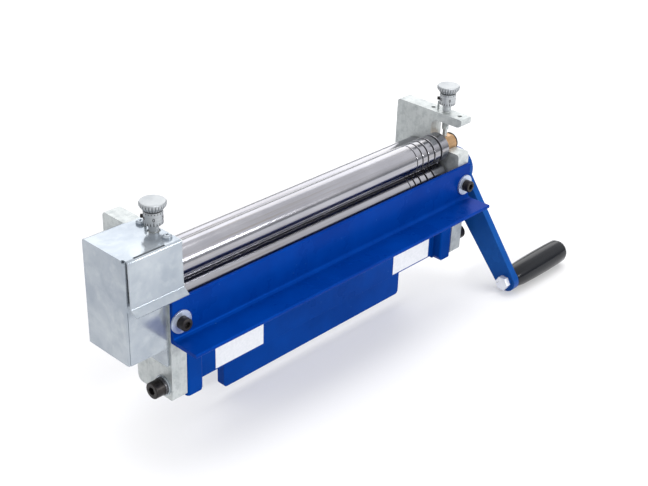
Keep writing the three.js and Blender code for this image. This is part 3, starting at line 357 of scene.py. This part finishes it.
def pale_floor():
    """Matt pale floor, a little self-lit so that it stays near white."""
    g = Graph("studio_floor")
    g.set(Metallic=0.0)
    cloud = g.noise(1.5, 2)
    colour = g.blend(cloud, (0.64, 0.64, 0.645), (0.66, 0.66, 0.665))
    g.set(Emission_Color=(1, 1, 1, 1), Emission_Strength=0.17)
    return g.finish(colour, g.ramp(cloud, 0.75, 0.85))


MATERIALS = {
    "ground_steel": satin_steel(),
    "polished_steel": polished_steel(),
    "bronze": bronze(),
    "gear_steel": gear_steel(),
    "bright_zinc": bright_zinc(),
    "white_zinc": white_zinc("white_zinc", (0.34, 0.39, 0.50), (0.50, 0.56, 0.68)),
    "blue_paint_bar": blue_enamel("blue_enamel_bar", (0.0, 0.023, 0.185), (0.0, 0.040, 0.27)),
    "blue_paint_member": blue_enamel(
        "blue_enamel_member", (0.0, 0.028, 0.182), (0.0005, 0.043, 0.26),
        rough_low=0.26, rough_high=0.4,
    ),
    "blue_paint_crank": blue_enamel(
        "blue_enamel_crank", (0.003, 0.041, 0.20), (0.008, 0.073, 0.295),
        rough_low=0.16, rough_high=0.28, gloss=0.16,
    ),
    "black_oxide": black_oxide(),
    "spring_steel": spring_steel(),
    "knob_steel": knob_steel("knob_steel", False),
    "black_plastic": black_plastic(),
}
PAPER = label_paper()
INK = engraving_ink()
THUMB_KNOB = knob_steel("thumb_knob_steel", True)
# Nodes whose finish differs from their slot's
OWN_FINISH = {
    "grip_bolt": white_zinc("plated_bolt", (0.66, 0.68, 0.74), (0.80, 0.82, 0.86)),
    "thumb_knob_left": THUMB_KNOB,
    "thumb_knob_right": THUMB_KNOB,
}


# Pieces

WELD = 2e-6  # CAD vertices this close are one
FLAT = math.radians(0.5)  # CAD faces this close to flat are joined
ROOM = 0.001  # how far a cutter passes the surface that it opens


def keep(mesh_object, body, slot, material=None):
    """Gives a new piece its material and the body that it moves with."""
    mesh_object.data.materials.clear()
    mesh_object.data.materials.append(material or MATERIALS[slot])
    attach(mesh_object, body)
    return mesh_object


def object_from(name, bm):
    """A new object in the scene that holds the bmesh, which is freed."""
    mesh = bpy.data.meshes.new(name)
    bm.to_mesh(mesh)
    bm.free()
    made = bpy.data.objects.new(name, mesh)
    bpy.context.scene.collection.objects.link(made)
    return made


def settle(made, bevel=0.0, segments=2, sharp=34):
    """Rounds the hard edges, shades the rest smooth and fixes the result in the mesh."""
    if bevel:
        rounding = made.modifiers.new("rounding", "BEVEL")
        rounding.width = bevel
        rounding.segments = segments
        rounding.limit_method = "ANGLE"
        rounding.angle_limit = math.radians(sharp)
        rounding.use_clamp_overlap = True
    made.data.shade_smooth()
    made.data.set_sharp_from_angle(angle=math.radians(sharp))
    weighting = made.modifiers.new("weighting", "WEIGHTED_NORMAL")
    weighting.keep_sharp = True
    bpy.context.view_layer.update()
    graph = bpy.context.evaluated_depsgraph_get()
    mesh = bpy.data.meshes.new_from_object(made.evaluated_get(graph))
    made.modifiers.clear()
    made.data = mesh
    return made


def stand_for(made, node):
    """Lets a finished piece move, and be seen, in place of a CAD node."""
    keep(made, BODY_OF[node], SLOT_OF[node], OWN_FINISH.get(node))
    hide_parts(node)


def move_origin(made, origin):
    """Puts the object's origin, and so its material's coordinates, at a point."""
    made.data.transform(Matrix.Translation(-origin))
    made.location = origin


def dressed(node, bevel, cutter=None, origin=None):
    """A copy of a CAD node with rounded edges and smooth shading, which stands for it."""
    bm = bmesh.new()
    bm.from_mesh(frame["nodes"][node].data)
    bmesh.ops.remove_doubles(bm, verts=bm.verts, dist=WELD)
    bmesh.ops.dissolve_limit(bm, angle_limit=FLAT, verts=bm.verts, edges=bm.edges)
    made = object_from(node + "_finish", bm)
    if cutter is not None:
        cut_out(made, cutter)
    settle(made, bevel)
    if origin is not None:
        move_origin(made, origin)
    stand_for(made, node)


def cut_out(made, cutter):
    """Takes the cutter's shape out of a piece when the piece is settled."""
    cutting = made.modifiers.new("cut_out", "BOOLEAN")
    cutting.operation = "DIFFERENCE"
    cutting.solver = "EXACT"
    cutting.object = cutter


def joined(parts):
    """Several bmeshes as one; they are freed."""
    whole = bmesh.new()
    for part in parts:
        mesh = bpy.data.meshes.new("part")
        part.to_mesh(mesh)
        part.free()
        whole.from_mesh(mesh)
        bpy.data.meshes.remove(mesh)
    return whole


def box_of(node):
    """The lowest and highest corner of a CAD node."""
    points = [vertex.co for vertex in frame["nodes"][node].data.vertices]
    low = Vector(min(p[i] for p in points) for i in range(3))
    high = Vector(max(p[i] for p in points) for i in range(3))
    return low, high


def middle_of(node):
    low, high = box_of(node)
    return (low + high) / 2


def foot_of(node):
    """The middle of the underside of a CAD node's box."""
    low, high = box_of(node)
    return Vector(((low.x + high.x) / 2, (low.y + high.y) / 2, low.z))


def block(low, high):
    """A closed box between two corners, as a bmesh."""
    bm = bmesh.new()
    bmesh.ops.create_cube(bm, size=1)
    for vertex in bm.verts:
        for i in range(3):
            vertex.co[i] = (low[i] + high[i]) / 2 + vertex.co[i] * (high[i] - low[i])
    return bm


def lathe(profile, segments, place):
    """A closed solid turned from (along, radius) pairs.

    place turns a distance along the axis and two across it into a point.
    """
    bm = bmesh.new()
    rings = []
    for along, radius in profile:
        turn = [2 * math.pi * i / segments for i in range(segments if radius else 1)]
        points = [place(along, radius * math.cos(a), radius * math.sin(a)) for a in turn]
        rings.append([bm.verts.new(point) for point in points])
    for first, second in zip(rings, rings[1:]):
        for i in range(segments):
            ends = ((first, i), (first, i + 1), (second, i + 1), (second, i))
            corners = [ring[k % len(ring)] for ring, k in ends]
            face = list(dict.fromkeys(corners))
            if len(face) > 2:
                bm.faces.new(face)
    bmesh.ops.recalc_face_normals(bm, faces=bm.faces)
    return bm


# Rolls

ROLL_END = ROLL_LENGTH / 2
ROLL_CHAMFER = 0.0008
ROLL_SEGMENTS = 128
# Each wire groove's place along the roll and its radius, from the crank end inward
UPPER_GROOVES = (
    (0.1415, 0.0012), (0.1323, 0.00095), (0.1238, 0.0009), (0.1165, 0.0008), (0.1093, 0.0006))
LOWER_GROOVES = (
    (0.1363, 0.0011), (0.1271, 0.0011), (0.1186, 0.0010), (0.1113, 0.0009), (0.1048, 0.0006))
GROOVE_LIP = 0.0002
GROOVE_ANGLES = [math.radians(8 + step * 20.5) for step in range(9)]
JOURNAL_RADIUS = 0.006
RING_GROOVE = 0.0012  # width of the retaining ring's groove
RING_INSET = 0.0016  # from the journal's end to that groove
CRANK_SEAT_RADIUS = JOURNAL_RADIUS - 0.001
CRANK_SEAT_CHAMFER = 0.0005
CRANK_SHOULDER = ROLL_END + 0.0163


def groove_points(grooves):
    """The wire grooves' rounded profile, from the crank end inward."""
    points = []
    for centre, radius in grooves:
        points.append((centre + radius + GROOVE_LIP, ROLL_RADIUS))
        for angle in GROOVE_ANGLES:
            across, depth = radius * math.cos(angle), radius * math.sin(angle)
            points.append((centre + across, ROLL_RADIUS - depth))
        points.append((centre - radius - GROOVE_LIP, ROLL_RADIUS))
    return points


def roll(node, grooves, right_end, cutter=None):
    """A finely turned roll, its body and both journals; right_end draws the journal at the crank."""
    low, high = box_of(node)
    y, z = middle_of(node).yz
    profile = [
        (high.x, 0),
        *right_end(high.x),
        (ROLL_END, JOURNAL_RADIUS),
        (ROLL_END, ROLL_RADIUS - ROLL_CHAMFER),
        (ROLL_END - ROLL_CHAMFER, ROLL_RADIUS),
        *groove_points(grooves),
        (-ROLL_END + ROLL_CHAMFER, ROLL_RADIUS),
        (-ROLL_END, ROLL_RADIUS - ROLL_CHAMFER),
        (-ROLL_END, JOURNAL_RADIUS),
        (low.x + ROLL_CHAMFER, JOURNAL_RADIUS),
        (low.x, JOURNAL_RADIUS - ROLL_CHAMFER),
        (low.x, 0),
    ]
    bm = lathe(profile, ROLL_SEGMENTS, lambda along, b, c: (along, y + b, z + c))
    made = object_from(node + "_finish", bm)
    if cutter is not None:
        cut_out(made, cutter)
    settle(made, sharp=30)
    move_origin(made, Vector((0, y, z)))
    stand_for(made, node)


def plain_end(x):
    return [(x, JOURNAL_RADIUS - ROLL_CHAMFER), (x - ROLL_CHAMFER, JOURNAL_RADIUS)]


def ringed_end(x):
    """A journal's end with the groove for its retaining ring."""
    groove = x - RING_INSET
    floor_radius = JOURNAL_RADIUS - ROLL_CHAMFER
    return [
        *plain_end(x),
        (groove, JOURNAL_RADIUS),
        (groove, floor_radius),
        (groove - RING_GROOVE, floor_radius),
        (groove - RING_GROOVE, JOURNAL_RADIUS),
    ]


def crank_end(x):
    """A journal's end turned down for the crank's hub."""
    return [
        (x, CRANK_SEAT_RADIUS - CRANK_SEAT_CHAMFER),
        (x - CRANK_SEAT_CHAMFER, CRANK_SEAT_RADIUS),
        (CRANK_SHOULDER, CRANK_SEAT_RADIUS),
        (CRANK_SHOULDER, JOURNAL_RADIUS),
    ]


def key_seat(node, key):
    """The seat that a gear key sits in, as a cutter with a little room above."""
    low, high = box_of(key)
    return object_from(node + "_seat", block(low, (high.x, high.y, high.z + ROOM)))


upper_seat = key_seat("upper_roll", "upper_gear_key")
lower_seat = key_seat("lower_roll", "lower_gear_key")
roll("upper_roll", UPPER_GROOVES, ringed_end, upper_seat)
roll("lower_roll", LOWER_GROOVES, crank_end, lower_seat)
roll("rear_roll", (), plain_end)
ROLLS = ("upper_roll", "lower_roll", "rear_roll")


# Screws

THREAD_RADIUS = 0.003
THREAD_PITCH = 0.001
THREAD_DEPTH = 0.00055
THREAD_CORE = THREAD_RADIUS - THREAD_DEPTH
THREAD_SEGMENTS = 24
THREAD_STEP = THREAD_PITCH / 6
THREAD_CREST = 1.15  # over 1, the crests are flat
THREAD_RUN_IN = 0.0008
THREAD_RUN_OUT = 0.0001
TIP_CHAMFER = 0.0003


def threaded(node, plain_bottom, plain_top, tip=THREAD_CORE):
    """An upright screw with a real helical thread between its plain ends; tip is a radius."""
    low, high = box_of(node)
    centre = middle_of(node)
    start = low.z + plain_bottom
    stop = high.z - plain_top
    heights = [start + i * THREAD_STEP for i in range(int((stop - start) / THREAD_STEP) + 1)]
    rows = [
        (low.z, tip - TIP_CHAMFER, 0.0),
        (low.z + TIP_CHAMFER, tip, 0.0),
        (start - THREAD_RUN_IN, tip, 0.0),
        *((height, THREAD_RADIUS, THREAD_DEPTH) for height in heights),
        (heights[-1] + THREAD_RUN_OUT, THREAD_CORE, 0.0),
        (high.z, THREAD_CORE, 0.0),
    ]
    bm = bmesh.new()
    rings = []
    for height, outer, depth in rows:
        ring = []
        for i in range(THREAD_SEGMENTS):
            part = i / THREAD_SEGMENTS
            wave = abs((((height - low.z) / THREAD_PITCH - part) % 1) * 2 - 1)
            edge = outer - depth * (1 - min(1, wave * THREAD_CREST))
            x = centre.x + edge * math.cos(2 * math.pi * part)
            y = centre.y + edge * math.sin(2 * math.pi * part)
            ring.append(bm.verts.new((x, y, height)))
        rings.append(ring)
    for first, second in zip(rings, rings[1:]):
        for i in range(THREAD_SEGMENTS):
            j = (i + 1) % THREAD_SEGMENTS
            bm.faces.new((first[i], first[j], second[j], second[i]))
    bm.faces.new(reversed(rings[0]))
    bm.faces.new(rings[-1])
    stand_for(settle(object_from(node + "_finish", bm), sharp=50), node)


for side in ("left", "right"):
    threaded("thumb_screw_" + side, plain_bottom=0.007, plain_top=0.0005, tip=0.0019)
    threaded("rear_screw_" + side, plain_bottom=0.0005, plain_top=0.0015)
THREADED = ("thumb_screw_left", "thumb_screw_right", "rear_screw_left", "rear_screw_right")


# Cutters for screw heads and the cover

CROSS_TURNS = (35, 125, 215, 305)
CROSS_HALF_WIDTH = 0.00042
CROSS_BOTTOM = (-0.0011, 0.00115)  # height from the head's face, and the arms' reach there
CROSS_TOP = (0.002, 0.0021)
SOCKET_DEPTH = 0.0015
SOCKET_RADIUS = 0.0008
# The slot along the cover's front bend: x from the cover's left side, y, and depth
BEND_SLOT_X = (0.008, 0.0344)
BEND_SLOT_Y = (0.0008, 0.0024)
BEND_SLOT_DEPTH = 0.002
# The seam between the cover's left side and its lower front panel
SEAM_X = (0.0012, 0.0017)
SEAM_DEPTH = 0.0006
SEAM_TOP = 0.0400  # below the cover's top
PANEL_FRONT = 0.002  # y of the panel


def cross_cutter(name, centre, normal):
    """A cross recess that opens along the given direction, as a cutter."""
    aim = Vector(normal).to_track_quat("Z", "Y").to_matrix()
    thin = CROSS_HALF_WIDTH
    bm = bmesh.new()
    rings = []
    for height, reach in (CROSS_BOTTOM, CROSS_TOP):
        ring = []
        for degrees in CROSS_TURNS:
            turn = Matrix.Rotation(math.radians(degrees), 3, "Z")
            for x, y in ((reach, -thin), (reach, thin), (thin, thin)):
                ring.append(bm.verts.new(aim @ turn @ Vector((x, y, height)) + Vector(centre)))
        rings.append(ring)
    bottom, top = rings
    for i in range(len(bottom)):
        j = (i + 1) % len(bottom)
        bm.faces.new((bottom[i], bottom[j], top[j], top[i]))
    bm.faces.new(reversed(bottom))
    bm.faces.new(top)
    bmesh.ops.recalc_face_normals(bm, faces=bm.faces)
    return object_from(name, bm)


def socket(node, axis):
    """A hexagon socket in the outer end of a set screw that points away from the knob's axis."""
    height = middle_of(node).z
    outward = (middle_of(node) - axis).xy.normalized()
    points = [vertex.co - axis for vertex in frame["nodes"][node].data.vertices]
    end = max(point.xy.dot(outward) for point in points)

    def place(along, across, up):
        x = axis.x + along * outward.x - across * outward.y
        y = axis.y + along * outward.y + across * outward.x
        return (x, y, height + up)

    profile = [
        (end - SOCKET_DEPTH, 0),
        (end - SOCKET_DEPTH, SOCKET_RADIUS),
        (end + ROOM, SOCKET_RADIUS),
        (end + ROOM, 0),
    ]
    return lathe(profile, 6, place)


CUTTERS = {}
for node in ("cover_screw_front", "cover_screw_rear"):
    centre, high = middle_of(node), box_of(node)[1]
    CUTTERS[node] = cross_cutter(node + "_cross", (centre.x, centre.y, high.z), (0, 0, 1))
for node in ("backplate_screw_low", "backplate_screw_high"):
    centre, low = middle_of(node), box_of(node)[0]
    CUTTERS[node] = cross_cutter(node + "_cross", (low.x, centre.y, centre.z), (-1, 0, 0))
for side in ("left", "right"):
    node = "collar_set_screw_" + side
    CUTTERS[node] = object_from(node + "_socket", socket(node, middle_of("thumb_knob_" + side)))

cover_low, cover_high = box_of("gear_cover")
bend_slot = block(
    (cover_low.x + BEND_SLOT_X[0], BEND_SLOT_Y[0], cover_high.z - BEND_SLOT_DEPTH),
    (cover_low.x + BEND_SLOT_X[1], BEND_SLOT_Y[1], cover_high.z + ROOM),
)
corner_seam = block(
    (cover_low.x + SEAM_X[0], PANEL_FRONT - ROOM, cover_low.z - ROOM),
    (cover_low.x + SEAM_X[1], PANEL_FRONT + SEAM_DEPTH, cover_high.z - SEAM_TOP),
)
CUTTERS["gear_cover"] = object_from("cover_slots", joined((bend_slot, corner_seam)))


# Every other CAD node

DEFAULT_BEVEL = 0.0002
BEVELS = {
    "end_plate_left": 0.0005,
    "end_plate_right": 0.0005,
    "front_angle_bar": 0.0007,
    "cross_member": 0.0006,
    "vice_tang": 0.0004,
    "gear_cover": 0.00015,
    "crank_arm": 0.0009,
    "crank_grip": 0.0,
    "thumb_knob_left": 0.00012,
    "thumb_knob_right": 0.00012,
    "rear_knob_left": 0.00012,
    "rear_knob_right": 0.00012,
    "lower_gear": 0.0001,
    "upper_gear": 0.0001,
    "cover_screw_front": 0.0001,
    "cover_screw_rear": 0.0001,
    "backplate_screw_low": 0.0001,
    "backplate_screw_high": 0.0001,
    "collar_set_screw_left": 0.00008,
    "collar_set_screw_right": 0.00008,
}
# The knobs' material measures from their feet
ORIGINS = {node: foot_of(node) for node in ("thumb_knob_left", "thumb_knob_right")}
for node in frame["nodes"]:
    if node not in ROLLS and node not in THREADED:
        bevel = BEVELS.get(node, DEFAULT_BEVEL)
        dressed(node, bevel, cutter=CUTTERS.get(node), origin=ORIGINS.get(node))
for cutter in (upper_seat, lower_seat, *CUTTERS.values()):
    bpy.data.objects.remove(cutter)


# Graduated collars

COLLAR_RADIUS = 0.007
COLLAR_BASE = 0.0056  # the collar's lower edge over the knob's foot
COLLAR_HEIGHT = 0.010
DIVISIONS = 20
LONG_EVERY = 4  # each fourth tick is long and has its number, in hundredths of a turn
FIRST_ANGLE = -2.2
UPPER_SHIFT = 0.12  # the upper row of ticks, turned a little from the lower
TICK_WIDTH = 0.00032
TICK_FOOT = 0.00085
LONG_TICK = 0.0027
SHORT_TICK = 0.0019
TICK_BASE = 0.0005
UPPER_TICK = (0.00055, 0.0009)  # width and height
UPPER_BASE = COLLAR_HEIGHT - 0.0014
NUMBER_SIZE = 0.0036
NUMBER_WEIGHT = 0.00008
NUMBER_BASE = 0.0040
INK_PROUD = 0.00003
INK_DEPTH = 0.0001


def wrapped(bm, knob, angle, height):
    """Lays a flat drawing, across and up, round a knob's collar at an angle."""
    foot = box_of(knob)[0].z
    centre = middle_of(knob)
    for vertex in bm.verts:
        at = angle + vertex.co.x / COLLAR_RADIUS
        radius = COLLAR_RADIUS + INK_PROUD + vertex.co.z
        up = foot + COLLAR_BASE + height + vertex.co.y
        vertex.co = (centre.x + radius * math.cos(at), centre.y + radius * math.sin(at), up)


def tick_mesh(width, height, foot):
    """A tick a little wider at its foot, on the plane with x across and y up."""
    bm = bmesh.new()
    corners = [(-foot / 2, 0), (foot / 2, 0), (width / 2, height), (-width / 2, height)]
    bm.faces.new([bm.verts.new((x, y, 0)) for x, y in corners])
    return bm


def number_mesh(text):
    """A plain number as a flat mesh, its foot at zero and centred across."""
    curve = bpy.data.curves.new("number", "FONT")
    curve.body = text
    curve.size = NUMBER_SIZE
    curve.offset = NUMBER_WEIGHT
    curve.align_x = "CENTER"
    curve.resolution_u = 3
    made = bpy.data.objects.new("number", curve)
    bpy.context.scene.collection.objects.link(made)
    bpy.context.view_layer.update()
    bm = bmesh.new()
    bm.from_mesh(bpy.data.meshes.new_from_object(made))
    bpy.data.objects.remove(made)
    return bm


def graduations(side):
    """The ticks and numbers of one collar, as thin solids of paint."""
    knob = "thumb_knob_" + side
    parts = []
    for i in range(DIVISIONS):
        angle = 2 * math.pi * i / DIVISIONS + FIRST_ANGLE
        numbered = i % LONG_EVERY == 0
        lower = tick_mesh(TICK_WIDTH, LONG_TICK if numbered else SHORT_TICK, TICK_FOOT)
        wrapped(lower, knob, angle, TICK_BASE)
        width, height = UPPER_TICK
        upper = tick_mesh(width, height, width)
        wrapped(upper, knob, angle + UPPER_SHIFT, UPPER_BASE)
        parts += [lower, upper]
        if numbered:
            number = number_mesh(str(i * 100 // DIVISIONS))
            wrapped(number, knob, angle, NUMBER_BASE)
            parts.append(number)
    made = object_from("collar_marks_" + side, joined(parts))
    thickness = made.modifiers.new("thickness", "SOLIDIFY")
    thickness.thickness = INK_DEPTH
    thickness.offset = -1
    settle(made, sharp=30)
    keep(made, BODY_OF[knob], "black_oxide", INK)


graduations("left")
graduations("right")


# Labels

MEMBER_FRONT = 0.009  # y of the cross member's recessed panel
LABEL_HEIGHTS = (0.0012, 0.0405)
LABEL_BACK = 0.00002  # from the panel to the label's back
LABEL_FACE = 0.0002  # and to its face
LABEL_BEVEL = 0.00006


def sticker(name, left, right):
    """A blank paper label, a little proud of the panel it is stuck on."""
    bottom, top = LABEL_HEIGHTS
    low = (left, MEMBER_FRONT - LABEL_FACE, bottom)
    high = (right, MEMBER_FRONT - LABEL_BACK, top)
    made = settle(object_from(name, block(low, high)), LABEL_BEVEL, segments=1)
    keep(made, "frame", "white_zinc", PAPER)


sticker("label_left", -0.1187, -0.0693)
sticker("label_right", 0.0847, 0.1325)


# Floor, light and camera

FLOOR_SIZE = 6  # half its width
FLOOR_GAP = 0.0008  # under the lowest point of the machine
WORLD_STRENGTH = 1.15
# Height of the direction, from horizon to overhead, and the sky's grey there
SKY = ((0.12, 0.32), (0.30, 0.70), (0.55, 1.0))

bm = bmesh.new()
bmesh.ops.create_grid(bm, x_segments=8, y_segments=8, size=FLOOR_SIZE)
floor = object_from("studio_floor", bm)
floor.location = (0, 0, cad_low.z - FLOOR_GAP)
floor.data.materials.append(pale_floor())
floor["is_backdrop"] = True


def studio_world():
    """Bright overhead and greyer towards the horizon, so that bare metal has contrast."""
    world = bpy.data.worlds.new("studio")
    bpy.context.scene.world = world
    world.use_nodes = True
    tree = world.node_tree
    background = tree.nodes["Background"]
    direction = tree.nodes.new("ShaderNodeTexCoord").outputs["Generated"]
    parts = tree.nodes.new("ShaderNodeSeparateXYZ")
    tree.links.new(direction, parts.inputs["Vector"])
    ramp = tree.nodes.new("ShaderNodeValToRGB")
    tree.links.new(parts.outputs["Z"], ramp.inputs["Fac"])
    stops = ramp.color_ramp.elements
    stops[0].position = 0.0
    stops[0].color = (0.26, 0.28, 0.31, 1)
    stops[1].position = 1.0
    stops[1].color = (1.0, 1.0, 1.0, 1)
    for position, grey in SKY:
        stop = stops.new(position)
        stop.color = (grey, grey, grey * 1.02, 1)
    tree.links.new(ramp.outputs["Color"], background.inputs["Color"])
    background.inputs["Strength"].default_value = WORLD_STRENGTH


studio_world()
bpy.context.scene.view_settings.view_transform = "Standard"


def softbox(name, place, target, width, height, power):
    """A rectangular soft light at a place, aimed at a target."""
    data = bpy.data.lights.new(name, "AREA")
    data.shape = "RECTANGLE"
    data.size = width
    data.size_y = height
    data.energy = power
    light = bpy.data.objects.new(name, data)
    light.location = place
    light.rotation_mode = "QUATERNION"
    light.rotation_quaternion = (Vector(target) - Vector(place)).to_track_quat("-Z", "Y")
    bpy.context.scene.collection.objects.link(light)


softbox("top_light", (0.1, 0.2, 1.7), (0, 0, 0), 1.4, 0.8, 9)
softbox("rear_light", (1.45, 1.45, 1.05), (0, 0, 0.1), 2.2, 1.2, 12)
softbox("front_light", (0.4, -1.8, 0.8), (0, 0, 0.05), 1.6, 0.17, 25)

# The photograph's camera, solved from the machine's straight edges
CAMERA_PLACE = Vector((-0.59733, -0.54240, 0.50949))
CAMERA_RIGHT = Vector((0.691767, -0.721532, 0.029136))
CAMERA_UP = Vector((0.329087, 0.350912, 0.876677))
CAMERA_AHEAD = Vector((0.642775, 0.596868, -0.480197))

camera_data = bpy.data.cameras.new("photo_camera")
camera_data.lens = 64.98
camera_data.sensor_width = 36
camera = bpy.data.objects.new("photo_camera", camera_data)
turn = Matrix((CAMERA_RIGHT, CAMERA_UP, -CAMERA_AHEAD)).transposed().to_4x4()
camera.matrix_world = Matrix.Translation(CAMERA_PLACE) @ turn
bpy.context.scene.collection.objects.link(camera)
bpy.context.scene.camera = camera

low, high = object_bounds()
{"cad": [list(cad_low), list(cad_high)], "visual": [list(low), list(high)]}
